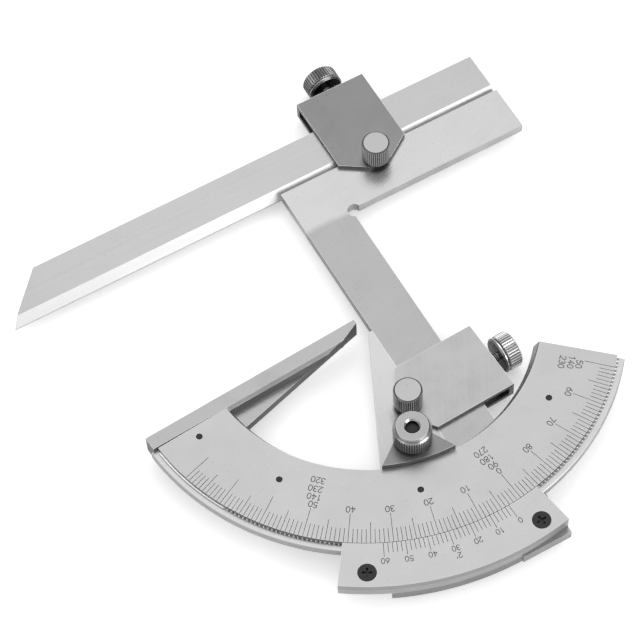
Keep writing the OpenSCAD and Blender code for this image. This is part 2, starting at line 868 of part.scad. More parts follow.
// Side screw: its thin tip sits in the pressure bar
module side_screw(bar_x) {
    start = bar_x + bar_t + seat;
    translate([0, 0, stem_z])
        rotate([0, 90, 0])
            union() {
                translate([0, 0, start - tip_len])
                    cylinder(r = stem_r * tip_share, h = tip_len + seat);
                translate([0, 0, start])
                    cylinder(r = stem_r, h = clamp_depth + side_neck - start + seat);
                translate([0, 0, clamp_depth + side_neck])
                    collar_knob(side_knob_d, side_knob_len, knurl_n);
            }
}

// Pressure bar between the side screw and the arm's edge
module pressure_bar(bar_x) {
    difference() {
        translate([bar_x, -bar_len / 2, bar_slack])
            cube([bar_t, bar_len, arm_t - 2 * bar_slack]);
        translate([bar_x + bar_t - tip_len, 0, stem_z])
            rotate([0, 90, 0])
                cylinder(r = stem_r * tip_share + fit, h = tip_len + over);
    }
}

// Place of the lower clamp block: over the sector's straight edge
module at_lower_clamp() {
    on_sector()
        translate([-nose_reach, -lower_clamp_y, 0])
            rotate([0, 0, lower_clamp_tilt])
                children();
}

// Place of the upper clamp block: across the square's outer edge
module at_upper_clamp() {
    on_sector()
        translate([upper_clamp_x, square_reach - nose_reach, 0])
            rotate([0, 0, 90])
                children();
}

// Lower clamp: holds the square to the sector plate
module lower_clamp() {
    color("lightgray")
    at_lower_clamp()
        clamp_block();
}

module lower_nose_screw() {
    color("silver")
    at_lower_clamp()
        nose_screw();
}

module lower_pressure_bar() {
    color("gray")
    at_lower_clamp()
        pressure_bar(lower_bar_x);
}

module lower_side_screw() {
    color("silver")
    at_lower_clamp()
        side_screw(lower_bar_x);
}

// Upper clamp: holds the straight rule to the square
module upper_clamp() {
    color("gray")
    at_upper_clamp()
        clamp_block();
}

module upper_nose_screw() {
    color("silver")
    at_upper_clamp()
        nose_screw();
}

module upper_pressure_bar() {
    color("gray")
    at_upper_clamp()
        pressure_bar(upper_bar_x);
}

module upper_side_screw() {
    color("darkgray")
    at_upper_clamp()
        side_screw(upper_bar_x);
}

// Square: one arm slides on the sector plate, the other carries the straight rule
module square() {
    color("lightgray")
    on_sector()
        translate([0, square_reach, 0])
            difference() {
                linear_extrude(arm_t)
                    polygon([[0, 0], [cross_len, 0], [cross_len, -cross_w], [slide_w, -cross_w],
                             [slide_w, -square_len], [0, -square_len]]);
                translate([slide_w + relief_d / 6, -cross_w - relief_d / 6, -over])
                    cylinder(d = relief_d, h = arm_t + 2 * over);
            }
}

// Straight rule with a bevelled measuring edge and a slanted end
module straight_rule() {
    right_x = cross_len + rule_past;
    left_x = right_x - rule_len;
    color("lightgray")
    on_sector()
        translate([0, square_reach, 0])
            intersection() {
                translate([left_x, 0, 0])
                    rotate([90, 0, 90])
                        linear_extrude(rule_len)
                            polygon([[0, 0], [rule_w, 0], [rule_w, arm_t], [knife_w, arm_t], [0, knife_land]]);
                translate([0, 0, -over])
                    linear_extrude(arm_t + 2 * over)
                        polygon([[left_x, -over], [left_x, 0], [left_x + rule_slant, rule_w],
                                 [left_x + rule_slant, rule_w + over], [right_x, rule_w + over], [right_x, -over]]);
            }
}

ring_body();
gear_segment();
scale_plate();
scale_screws();
base_rule();
base_screws();
sector_plate();
vernier_carrier();
vernier_plate();
vernier_screws();
carrier_screws();
pinion_bush();
pinion();
back_knob();
brake_stud();
brake_shoe();
brake_nut();
lower_clamp();
lower_nose_screw();
lower_pressure_bar();
lower_side_screw();
square();
upper_clamp();
upper_nose_screw();
upper_pressure_bar();
upper_side_screw();
straight_rule();
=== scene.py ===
# %% [markdown]
# # Dressing a universal bevel protractor
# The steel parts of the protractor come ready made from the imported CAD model.
# This lesson gives them ground and plated steel finishes, softens their edges,
# and adds what the solids leave out: the engraved numbers, the screw threads and
# the light. All lengths are in metres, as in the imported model.

# %% Load the fixed frame
import bpy
import bmesh
import math
from mathutils import Euler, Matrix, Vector


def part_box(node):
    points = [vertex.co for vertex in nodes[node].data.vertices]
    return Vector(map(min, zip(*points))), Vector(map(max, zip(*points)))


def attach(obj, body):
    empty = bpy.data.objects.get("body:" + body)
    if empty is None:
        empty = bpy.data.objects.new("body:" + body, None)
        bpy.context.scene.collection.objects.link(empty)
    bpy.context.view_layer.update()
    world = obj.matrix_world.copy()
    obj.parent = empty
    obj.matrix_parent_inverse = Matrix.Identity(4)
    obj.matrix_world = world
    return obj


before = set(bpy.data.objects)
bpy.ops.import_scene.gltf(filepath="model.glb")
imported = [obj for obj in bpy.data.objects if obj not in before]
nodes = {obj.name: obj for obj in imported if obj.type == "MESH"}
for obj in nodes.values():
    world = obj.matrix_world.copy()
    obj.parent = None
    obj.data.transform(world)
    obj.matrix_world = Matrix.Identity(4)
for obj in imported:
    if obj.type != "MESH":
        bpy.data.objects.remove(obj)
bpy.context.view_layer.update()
MM = 0.001

# %% [markdown]
# ## Sizes shared with the solids
# The numbers on the scale have to meet the engraved lines, and the threads have to
# sit on their stems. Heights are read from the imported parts. The few sizes that
# can't be read there are repeated in the words used for the solids: the scale's
# radius, the direction of its zero line, the reading at which the protractor is
# stored, the corner of the square, and the way each clamp's block points.

# %% Sizes shared with the solids
READING_DEG = 3.3
READING = math.radians(READING_DEG)
ZERO_DIR = math.radians(-87.4)
SCALE_R = 66.6 * MM
SCALE_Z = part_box("scale_plate")[1][2]
ARM_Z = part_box("square")[1][2]
FLOOR_Z = min(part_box(n)[0][2] for n in nodes)
CORNER_Y = 33.2 * MM
LOWER_TILT_DEG = 2.6
SIDE_ANGLES = {"lower_side_screw": math.radians(LOWER_TILT_DEG - READING_DEG),
               "upper_side_screw": math.radians(90 - READING_DEG)}
print("scale face at", round(SCALE_Z / MM, 2), "mm, arms' face at", round(ARM_Z / MM, 2), "mm")

# %% [markdown]
# ## Helpers for shader nodes
# A finish is a small network of nodes. These helpers add one node with its inputs
# set, do one step of arithmetic, or start a named effect with inputs and outputs
# of its own, so that each effect below reads like a list of steps.

# %% Helpers for shader nodes
FLOAT = "NodeSocketFloat"
VECTOR = "NodeSocketVector"


def set_inputs(tree, node, inputs):
    """Connect those inputs that are sockets, and set those that are plain values."""
    for key, value in inputs.items():
        if isinstance(value, bpy.types.NodeSocket):
            tree.links.new(value, node.inputs[key])
        else:
            node.inputs[key].default_value = value


def add_node(tree, kind, inputs=None, **settings):
    node = tree.nodes.new(kind)
    for key, value in settings.items():
        setattr(node, key, value)
    set_inputs(tree, node, inputs or {})
    return node


def calc(tree, operation, *values, clamp=False):
    """Do one step of arithmetic, and give back its result."""
    inputs = dict(enumerate(values))
    return add_node(tree, "ShaderNodeMath", inputs, operation=operation, use_clamp=clamp).outputs[0]


def new_effect(name, ins, outs):
    tree = bpy.data.node_groups.new(name, "ShaderNodeTree")
    for label, kind, value in ins:
        socket = tree.interface.new_socket(label, in_out="INPUT", socket_type=kind)
        socket.default_value = value
    for label in outs:
        tree.interface.new_socket(label, in_out="OUTPUT", socket_type=FLOAT)
    return tree, tree.nodes.new("NodeGroupInput").outputs, tree.nodes.new("NodeGroupOutput")


print("node helpers ready")

# %% [markdown]
# ## Helpers for tones
# A tone is one number from black to white. It becomes a grey colour, it is mixed
# with another tone, or it is stretched to a range of its own. The metals here are
# all neutral in colour, so tones are all they need.

# %% Helpers for tones
def grey(value):
    return (value, value, value, 1.0)


def as_grey(tree, value):
    return add_node(tree, "ShaderNodeCombineColor", {0: value, 1: value, 2: value}).outputs[0]


def mix_colours(tree, factor, first, second):
    inputs = {"Factor": factor, 6: first, 7: second}
    return add_node(tree, "ShaderNodeMix", inputs, data_type="RGBA").outputs[2]


def mix_values(tree, factor, first, second):
    return add_node(tree, "ShaderNodeMix", {"Factor": factor, 2: first, 3: second}).outputs[0]


def between(tree, share, low, high):
    """Run from low to high while the share runs from 0 to 1."""
    inputs = {"Value": share, "To Min": low, "To Max": high}
    return add_node(tree, "ShaderNodeMapRange", inputs).outputs[0]


print("tone helpers ready")

# %% [markdown]
# ## Effect: ground grain
# A surface grinder leaves long fine scratches that all run one way. Noise that is
# stretched along one direction looks just like that. The effect takes the grain's
# direction, length and width. It gives the fine scratches and the broader streaks,
# which change tone, roughness and height together on real steel.

# %% Effect: ground grain
STREAK_SCALE = 0.22
grain_tree, gin, gout = new_effect(
    "ground_grain",
    [("Direction", FLOAT, 0.0), ("Length", FLOAT, 20 * MM), ("Width", FLOAT, 0.2 * MM)],
    ["Grain", "Streaks"])
place = add_node(grain_tree, "ShaderNodeTexCoord").outputs["Object"]
turn = calc(grain_tree, "MULTIPLY", gin["Direction"], -math.pi / 180)
turned = add_node(grain_tree, "ShaderNodeVectorRotate", {"Vector": place, "Angle": turn},
                  rotation_type="Z_AXIS")
along = calc(grain_tree, "DIVIDE", 1.0, gin["Length"])
across = calc(grain_tree, "DIVIDE", 1.0, gin["Width"])
stretch = add_node(grain_tree, "ShaderNodeCombineXYZ", {"X": along, "Y": across, "Z": across})
drawn = add_node(grain_tree, "ShaderNodeVectorMath", {0: turned.outputs[0], 1: stretch.outputs[0]},
                 operation="MULTIPLY").outputs[0]
fine = add_node(grain_tree, "ShaderNodeTexNoise", {"Vector": drawn, "Scale": 1.0, "Detail": 3.0})
coarse = add_node(grain_tree, "ShaderNodeTexNoise", {"Vector": drawn, "Scale": STREAK_SCALE, "Detail": 2.0})
set_inputs(grain_tree, gout, {"Grain": fine.outputs[0], "Streaks": coarse.outputs[0]})
print("effect:", grain_tree.name)

# %% [markdown]
# ## Effect: handling marks
# Fingers and shelves leave cloudy patches and a few tiny pits. A noise of several
# sizes makes the cloud, and a cell pattern cut down to its centres makes the pits.

# %% Effect: handling marks
marks_tree, gin, gout = new_effect(
    "handling_marks",
    [("Cloud size", FLOAT, 12 * MM), ("Pit size", FLOAT, 1.6 * MM), ("Pit share", FLOAT, 0.08)],
    ["Cloud", "Pits"])
place = add_node(marks_tree, "ShaderNodeTexCoord").outputs["Object"]
per_cloud = calc(marks_tree, "DIVIDE", 1.0, gin["Cloud size"])
per_pit = calc(marks_tree, "DIVIDE", 1.0, gin["Pit size"])
cloud = add_node(marks_tree, "ShaderNodeTexNoise",
                 {"Vector": place, "Scale": per_cloud, "Detail": 4.0, "Roughness": 0.6})
cells = add_node(marks_tree, "ShaderNodeTexVoronoi", {"Vector": place, "Scale": per_pit, "Randomness": 1.0})
pits = calc(marks_tree, "LESS_THAN", cells.outputs["Distance"], gin["Pit share"])
set_inputs(marks_tree, gout, {"Cloud": cloud.outputs[0], "Pits": pits})
print("effect:", marks_tree.name)

# %% [markdown]
# ## Effect: bright edge, worn and painted
# Edges are made lighter. On the blackened screws this is real wear, and on the steel parts it is a painted
# highlight where the edges catch the light. The Bevel node gives the normal that a rounded edge would have.
# Where it differs from the true normal, there is an edge, and the difference makes a mask.

# %% Effect: bright edge, worn and painted
edge_wear_and_highlight_tree, gin, gout = new_effect(
    "edge_wear_and_highlight", [("Width", FLOAT, 0.3 * MM), ("Strength", FLOAT, 4.0)], ["Edge"])
shape = add_node(edge_wear_and_highlight_tree, "ShaderNodeNewGeometry")
rounded = add_node(edge_wear_and_highlight_tree, "ShaderNodeBevel", {"Radius": gin["Width"]}, samples=4)
same = add_node(edge_wear_and_highlight_tree, "ShaderNodeVectorMath", {0: shape.outputs["Normal"], 1: rounded.outputs[0]},
                operation="DOT_PRODUCT")
differ = calc(edge_wear_and_highlight_tree, "SUBTRACT", 1.0, same.outputs["Value"])
edge = calc(edge_wear_and_highlight_tree, "MULTIPLY", differ, gin["Strength"], clamp=True)
set_inputs(edge_wear_and_highlight_tree, gout, {"Edge": edge})
print("effect:", edge_wear_and_highlight_tree.name)

# %% [markdown]
# ## Effect: paint in engraved lines
# The solids carry the lines as shallow grooves. The real grooves hold dark paint.
# A point is painted where it lies about one groove's depth below the face and its
# surface looks up, so the rim of the plate stays bare.

# %% Effect: paint in engraved lines
LINE_DEPTH = 0.06 * MM
SHALLOWEST, DEEPEST = 0.4, 1.6
LOOKS_UP = 0.8
paint_tree, gin, gout = new_effect(
    "groove_paint", [("Face height", FLOAT, SCALE_Z), ("Depth", FLOAT, LINE_DEPTH)], ["Paint"])
place = add_node(paint_tree, "ShaderNodeTexCoord")
shape = add_node(paint_tree, "ShaderNodeNewGeometry")
where = add_node(paint_tree, "ShaderNodeSeparateXYZ", {0: place.outputs["Object"]})
faces = add_node(paint_tree, "ShaderNodeSeparateXYZ", {0: shape.outputs["True Normal"]})
below = calc(paint_tree, "SUBTRACT", gin["Face height"], where.outputs["Z"])
low = calc(paint_tree, "GREATER_THAN", below, calc(paint_tree, "MULTIPLY", gin["Depth"], SHALLOWEST))
high = calc(paint_tree, "LESS_THAN", below, calc(paint_tree, "MULTIPLY", gin["Depth"], DEEPEST))
level = calc(paint_tree, "GREATER_THAN", faces.outputs["Z"], LOOKS_UP)
painted = calc(paint_tree, "MULTIPLY", calc(paint_tree, "MULTIPLY", low, high), level)
set_inputs(paint_tree, gout, {"Paint": painted})
print("effect:", paint_tree.name)

# %% [markdown]
# ## Effect: dirt and painted light on a knurl
# Oil and dust stay in the valleys of a knurl. The valleys are also painted much darker as painted shade,
# and the ridges much lighter as a painted highlight. How far a point lies from the knob's own axis tells a
# valley from a ridge. The flat end faces keep the steel's own tone. The narrow cone beside them gets a tone
# for itself: a painted highlight on some knobs and painted shade on others. Both are found by how far the
# normal turns away from the axis.

# %% Effect: dirt and painted light on a knurl
KNURL_DEPTH = 0.28 * MM
VALLEY_SHADE_GAIN, RIDGE_HIGHLIGHT_GAIN = 0.12, 4.4
RIDGE_POWER = 1.6
FLAT_END, CONE_END = 0.97, 0.25
knurl_light_tree, gin, gout = new_effect(
    "knurl_dirt_and_painted_light",
    [("Centre", VECTOR, (0, 0, 0)), ("Axis", VECTOR, (0, 0, 1)), ("Radius", FLOAT, 4 * MM),
     ("Depth", FLOAT, KNURL_DEPTH), ("Cone", FLOAT, 1.0)],
    ["Dirt and light"])
place = add_node(knurl_light_tree, "ShaderNodeTexCoord")
offset = add_node(knurl_light_tree, "ShaderNodeVectorMath", {0: place.outputs["Object"], 1: gin["Centre"]},
                  operation="SUBTRACT")
across = add_node(knurl_light_tree, "ShaderNodeVectorMath", {0: offset.outputs[0], 1: gin["Axis"]},
                  operation="CROSS_PRODUCT")
far = add_node(knurl_light_tree, "ShaderNodeVectorMath", {0: across.outputs[0]}, operation="LENGTH")
below = calc(knurl_light_tree, "SUBTRACT", gin["Radius"], far.outputs["Value"])
valley = calc(knurl_light_tree, "DIVIDE", below, gin["Depth"])
ridge = calc(knurl_light_tree, "SUBTRACT", 1.0, valley, clamp=True)
side = between(knurl_light_tree, calc(knurl_light_tree, "POWER", ridge, RIDGE_POWER), VALLEY_SHADE_GAIN, RIDGE_HIGHLIGHT_GAIN)
turned = add_node(knurl_light_tree, "ShaderNodeVectorMath", {0: place.outputs["Normal"], 1: gin["Axis"]},
                  operation="DOT_PRODUCT")
tilt = calc(knurl_light_tree, "ABSOLUTE", turned.outputs["Value"])
edge = mix_values(knurl_light_tree, calc(knurl_light_tree, "GREATER_THAN", tilt, CONE_END), side, gin["Cone"])
dirt_and_light = mix_values(knurl_light_tree, calc(knurl_light_tree, "GREATER_THAN", tilt, FLAT_END), edge, 1.0)
set_inputs(knurl_light_tree, gout, {"Dirt and light": dirt_and_light})
print("effect:", knurl_light_tree.name)

# %% [markdown]
# ## Effect: painted shade across a face
# Part of a face is painted darker than the rest, as painted shade. On the square, one arm mirrors the light
# differently from the other, and that difference is painted into its colour. The effect splits the face
# along a line across the sector's straight edge, with a soft change and a wavy border.

# %% Effect: painted shade across a face
WAVES_PER_METRE = 180.0
WAVE_HEIGHT = 1.6 * MM
shade_patch_tree, gin, gout = new_effect(
    "painted_shade_patch", [("Line", FLOAT, 30 * MM), ("Soft", FLOAT, 2 * MM)], ["Patch"])
place = add_node(shade_patch_tree, "ShaderNodeTexCoord").outputs["Object"]
straight = add_node(shade_patch_tree, "ShaderNodeVectorRotate", {"Vector": place, "Angle": READING},
                    rotation_type="Z_AXIS")
parts = add_node(shade_patch_tree, "ShaderNodeSeparateXYZ", {0: straight.outputs[0]})
wave = add_node(shade_patch_tree, "ShaderNodeTexNoise",
                {"Vector": place, "Scale": WAVES_PER_METRE, "Detail": 3.0})
shift = calc(shade_patch_tree, "MULTIPLY_ADD", wave.outputs[0], WAVE_HEIGHT, -WAVE_HEIGHT / 2)
past = calc(shade_patch_tree, "SUBTRACT", calc(shade_patch_tree, "ADD", parts.outputs["Y"], shift), gin["Line"])
ramp = calc(shade_patch_tree, "DIVIDE", past, gin["Soft"])
share = calc(shade_patch_tree, "ADD", ramp, 0.5, clamp=True)
set_inputs(shade_patch_tree, gout, {"Patch": share})
print("effect:", shade_patch_tree.name)

# %% [markdown]
# ## Steps that finishes share
# Every finish begins with a new material, and takes the effects from above into
# it. Several effects are added up around zero, so that they spread the tone without
# moving it. Slopes and sides are told from the faces that look up.

# %% Steps that finishes share
SLOPES_BELOW = 0.95
finishes = {}


def new_material(name):
    """Keep a new material among the finishes, and give back its nodes and its shader."""
    finishes[name] = bpy.data.materials.new(name)
    finishes[name].use_nodes = True
    tree = finishes[name].node_tree
    return tree, tree.nodes["Principled BSDF"]


def add_effect(tree, effect, inputs=None):
    return add_node(tree, "ShaderNodeGroup", inputs, node_tree=effect).outputs


def sum_around_zero(tree, effects):
    """Add up effects that run from 0 to 1, each moved to zero and scaled to its share."""
    total = 0.0
    for socket, share in effects:
        centred = calc(tree, "SUBTRACT", socket, 0.5)
        total = calc(tree, "MULTIPLY_ADD", centred, 2 * share, total)
    return total


def on_slopes(tree):
    """Give 1 on faces that slope or stand, and 0 on faces that look up."""
    shape = add_node(tree, "ShaderNodeNewGeometry")
    faces = add_node(tree, "ShaderNodeSeparateXYZ", {0: shape.outputs["True Normal"]})
    return calc(tree, "LESS_THAN", faces.outputs["Z"], SLOPES_BELOW)


print("finish helpers ready")

# %% [markdown]
# ## Recipe for steel
# Each steel finish is one material made from the effects above. What differs is
# how light the steel is, how rough, which way it was ground and how deep the grain
# is. The metal's own colour is a neutral grey, as in plated or bare tool steel.
# Where grain and clouds make the tone lighter, the steel gets a little rougher too.
# Some steels also have painted shade over part of a face, a knurl with painted light, slopes and sides
# painted lighter or darker as painted highlight and painted shade, or paint in their grooves.

# %% Recipe for steel
EDGE_WIDTH = 0.22 * MM
PIT_DARKENS = 0.12
ROUGH_FOLLOWS_TONE = 0.8
SLOPE_ROUGHER = 0.10
LINE_PAINT_TONE = 0.035


def steel(name, tone, rough, direction, grain=0.10, streaks=0.10, cloud=0.06, length=30 * MM,
          width=0.22 * MM, depth=0.012 * MM, edge_highlight_tone=0.7, grooves=False, knurled=None, painted_slope_light=None,
          shade_patch=None):
    """Make one steel. The direction is in degrees, and the shade_patch is the line, shaded tone and
    softness of a painted shade over part of the face.
    """
    tree, shader = new_material(name)
    ground = add_effect(tree, grain_tree, {"Direction": direction, "Length": length, "Width": width})
    marks = add_effect(tree, marks_tree)
    total = sum_around_zero(
        tree, [(ground["Grain"], grain), (ground["Streaks"], streaks), (marks["Cloud"], cloud)])
    value = calc(tree, "MULTIPLY", calc(tree, "ADD", total, 1.0), tone, clamp=True)
    roughness = calc(tree, "MULTIPLY_ADD", total, ROUGH_FOLLOWS_TONE, rough, clamp=True)
    # painted shade: the face is darkened on one side of a line
    if shade_patch:
        line, other_tone, soft = shade_patch
        share = add_effect(tree, shade_patch_tree, {"Line": line, "Soft": soft})["Patch"]
        value = calc(tree, "MULTIPLY", value, between(tree, share, other_tone / tone, 1.0))
    if knurled:
        value = calc(tree, "MULTIPLY", value, add_effect(tree, knurl_light_tree, knurled)["Dirt and light"], clamp=True)
    # slopes and sides are painted lighter (painted highlight) or darker (painted shade)
    if painted_slope_light:
        tilted = on_slopes(tree)
        value = calc(tree, "MULTIPLY", value, between(tree, tilted, 1.0, painted_slope_light), clamp=True)
        roughness = calc(tree, "MULTIPLY_ADD", tilted, SLOPE_ROUGHER, roughness, clamp=True)
    pitted = calc(tree, "MULTIPLY_ADD", marks["Pits"], -PIT_DARKENS, value, clamp=True)
    # the steel's edges are painted lighter: a painted highlight
    edge = add_effect(tree, edge_wear_and_highlight_tree, {"Width": EDGE_WIDTH})["Edge"]
    colour = mix_colours(tree, edge, as_grey(tree, pitted), grey(edge_highlight_tone))
    metallic = 1.0
    if grooves:
        paint = add_effect(tree, paint_tree)["Paint"]
        colour = mix_colours(tree, paint, colour, grey(LINE_PAINT_TONE))
        metallic = calc(tree, "SUBTRACT", 1.0, paint)
    height = calc(tree, "ADD", ground["Grain"], ground["Streaks"])
    bump = add_node(tree, "ShaderNodeBump", {"Strength": 1.0, "Distance": depth, "Height": height})
    set_inputs(tree, shader, {"Base Color": colour, "Metallic": metallic, "Roughness": roughness,
                              "Normal": bump.outputs[0]})


print("steel recipe ready")

# %% [markdown]
# ## Steels of the plates, arms and clamps
# The grain of each part runs its own way, as it does when parts are ground one at a
# time. The scale and the vernier are satin. Their grain is faint, which keeps the
# lines easy to read, and their grooves hold paint.

# %% Steels of the plates, arms and clamps
SECTOR_GRAIN = -READING_DEG
# the rule's bevel and the square's and ring's slopes get a painted highlight, the bar's and the scale's
# walls painted shade
steel("rule_steel", tone=0.385, rough=0.34, direction=SECTOR_GRAIN, cloud=0.12, painted_slope_light=1.7)
# the square and the sector get painted shade over part of their faces
steel("square_steel", tone=0.42, rough=0.32, direction=SECTOR_GRAIN + 20, grain=0.14, cloud=0.2,
      painted_slope_light=1.5, shade_patch=(CORNER_Y, 0.30, 2 * MM))
steel("sector_steel", tone=0.45, rough=0.36, direction=SECTOR_GRAIN + 75, cloud=0.24,
      shade_patch=(-28 * MM, 0.36, 40 * MM))
steel("clamp_steel", tone=0.335, rough=0.34, direction=SECTOR_GRAIN + 60, cloud=0.36)
# the upper clamp is the clamp steel painted darker as shade, with its edges painted fully white as a
# highlight
steel("shaded_clamp_steel", tone=0.20, rough=0.36, direction=SECTOR_GRAIN + 40, cloud=0.30, edge_highlight_tone=1.0)
steel("bar_steel", tone=0.31, rough=0.32, direction=0, cloud=0.25, grain=0.16, length=0.9 * MM,
      width=0.4 * MM, painted_slope_light=0.66)
steel("ring_steel", tone=0.44, rough=0.34, direction=0, grain=0.06, painted_slope_light=1.2)
steel("shoe_steel", tone=0.18, rough=0.34, direction=30)
steel("hidden_steel", tone=0.25, rough=0.40, direction=0)
steel("scale_satin", tone=0.42, rough=0.40, direction=20, grain=0.03, streaks=0.03, cloud=0.16,
      depth=0.004 * MM, painted_slope_light=0.5, grooves=True)
steel("vernier_satin", tone=0.435, rough=0.40, direction=20, grain=0.03, streaks=0.03, cloud=0.14,
      depth=0.004 * MM, grooves=True)
# the gear rim's light tone is a painted highlight, the light its top catches
steel("painted_highlight_gear_steel", tone=0.80, rough=0.34, direction=0, grain=0.05)
steel("bush_bronze", tone=0.45, rough=0.35, direction=0)
print("finishes:", ", ".join(finishes))

# %% [markdown]
# ## Nickel on the knobs
# The knobs are plated with nickel. Each knob has a tone of its own, which paints the light and shade that
# falls on it, since all are the same nickel. The knurl effect, with its painted light, needs to know where
# each knob's axis is. Most knobs stand on the Z axis, so their own box gives it. A side screw lies in the
# arms' middle plane instead, and its axis goes through the nose screw of the same clamp.

# %% Nickel on the knobs
# each knob's tone, painted as light and shade, and how bright the cone beside its end face is painted
KNOBS = {
    "lower_nose_screw": (0.29, 0.35), "upper_nose_screw": (0.29, 0.35),
    "brake_nut": (0.25, 1.9), "back_knob": (0.24, 0.6),
    "lower_side_screw": (0.24, 1.6), "upper_side_screw": (0.085, 1.8),
}


def middle(name):
    low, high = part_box(name)
    return [(a + b) / 2 for a, b in zip(low, high)]


def knob_axis(name):
    """Give a point on the knob's axis, the axis, and the knob's radius."""
    low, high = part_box(name)
    if name not in SIDE_ANGLES:
        return middle(name), (0, 0, 1), (high[0] - low[0]) / 2
    x, y, _ = middle(name.replace("side", "nose"))
    angle = SIDE_ANGLES[name]
    return (x, y, ARM_Z / 2), (math.cos(angle), math.sin(angle), 0), (high[2] - low[2]) / 2


for name, (tone, cone) in KNOBS.items():
    point, axis, radius = knob_axis(name)
    steel(name + "_nickel", tone, rough=0.22, direction=0, grain=0.05, streaks=0.05, cloud=0.10,
          depth=0.003 * MM, knurled={"Centre": point, "Axis": axis, "Radius": radius, "Cone": cone})
print("knobs in nickel:", ", ".join(KNOBS))

# %% [markdown]
# ## Black oxide and number paint
# The scale and vernier screws are blackened. That coat is nearly black, a little
# shiny, and lighter on its worn edges. The paint in the numbers is nearly as dark
# and more matt, and a little uneven where it was wiped. Both come from one recipe,
# and the oxide's edges are added to it.

# %% Black oxide and number paint
TONE_RANGE = 0.02
ROUGH_RANGE = 0.3
OXIDE_EDGE_WIDTH = 0.1 * MM
OXIDE_EDGE_TONE = 0.08
OXIDE_SHINE = 0.36


def dark_coat(name, cloud_size, tone, rough, strength, depth):
    tree, shader = new_material(name)
    cloud = add_effect(tree, marks_tree, {"Cloud size": cloud_size})["Cloud"]
    colour = as_grey(tree, calc(tree, "MULTIPLY_ADD", cloud, TONE_RANGE, tone))
    roughness = calc(tree, "MULTIPLY_ADD", cloud, ROUGH_RANGE, rough)
    bump = add_node(tree, "ShaderNodeBump", {"Strength": strength, "Distance": depth, "Height": cloud})
    set_inputs(tree, shader, {"Base Color": colour, "Roughness": roughness, "Normal": bump.outputs[0]})
    return tree, shader, colour


dark_coat("number_paint", cloud_size=0.8 * MM, tone=0.008, rough=0.4, strength=0.4, depth=0.005 * MM)
tree, shader, colour = dark_coat(
    "black_oxide", cloud_size=1.2 * MM, tone=0.002, rough=0.3, strength=0.5, depth=0.01 * MM)
edge = add_effect(tree, edge_wear_and_highlight_tree, {"Width": OXIDE_EDGE_WIDTH})["Edge"]
set_inputs(tree, shader, {"Base Color": mix_colours(tree, edge, colour, grey(OXIDE_EDGE_TONE)),
                          "Specular IOR Level": OXIDE_SHINE})
print("dark coats: number_paint, black_oxide")

# %% [markdown]
# ## Give every part its finish
# The solids keep their own shapes, and each gets the finish that belongs to it.

# %% Give every part its finish
NODE_FINISH = {
    "ring_body": "ring_steel", "gear_segment": "painted_highlight_gear_steel", "scale_plate": "scale_satin",
    "scale_screws": "black_oxide", "base_rule": "bar_steel", "base_screws": "black_oxide",
    "sector_plate": "sector_steel", "vernier_carrier": "ring_steel", "vernier_plate": "vernier_satin",
    "vernier_screws": "black_oxide", "carrier_screws": "black_oxide", "pinion_bush": "bush_bronze",
    "pinion": "hidden_steel", "brake_stud": "black_oxide", "brake_shoe": "shoe_steel",
    "lower_clamp": "clamp_steel", "lower_pressure_bar": "hidden_steel", "square": "square_steel",
    "upper_clamp": "shaded_clamp_steel", "upper_pressure_bar": "hidden_steel",
    "straight_rule": "rule_steel",
}
for name in KNOBS:
    NODE_FINISH[name] = name + "_nickel"
for name, obj in nodes.items():
    obj.data.materials.clear()
    obj.data.materials.append(finishes[NODE_FINISH[name]])
print("finished nodes:", len(NODE_FINISH))

# %% [markdown]
# ## Break the hard edges
# A grinder or a stone takes a tenth of a millimetre or two off the hard outer edges,
# and a bevel modifier does the same here. The finely toothed and engraved parts
# stay as they are, because a bevel would eat their details.

# %% Break the hard edges
BROKEN_EDGES_MM = {"square": 0.12, "straight_rule": 0.08, "lower_clamp": 0.18, "upper_clamp": 0.18,
                   "sector_plate": 0.12, "brake_shoe": 0.2, "base_rule": 0.1, "vernier_carrier": 0.1,
                   "lower_pressure_bar": 0.15, "upper_pressure_bar": 0.15, "ring_body": 0.08}
HARD_EDGE = math.radians(35)
for name, width in BROKEN_EDGES_MM.items():
    bevel = nodes[name].modifiers.new("broken_edges", "BEVEL")
    bevel.width = width * MM
    bevel.segments = 2
    bevel.limit_method = "ANGLE"
    bevel.angle_limit = HARD_EDGE
print("nodes with broken edges:", len(BROKEN_EDGES_MM))

# %% [markdown]
# ## Figures
# The numbers are cut with a round tool, so every stroke has the same width and
# round turns. Each figure is a few strokes in a box one unit high, made of straight
# lines and of arcs.

# %% Figures
def arc(cx, cy, rx, ry, start, end, steps):
    turns = [math.radians(start + (end - start) * i / steps) for i in range(steps + 1)]
    return [(cx + rx * math.cos(t), cy + ry * math.sin(t)) for t in turns]


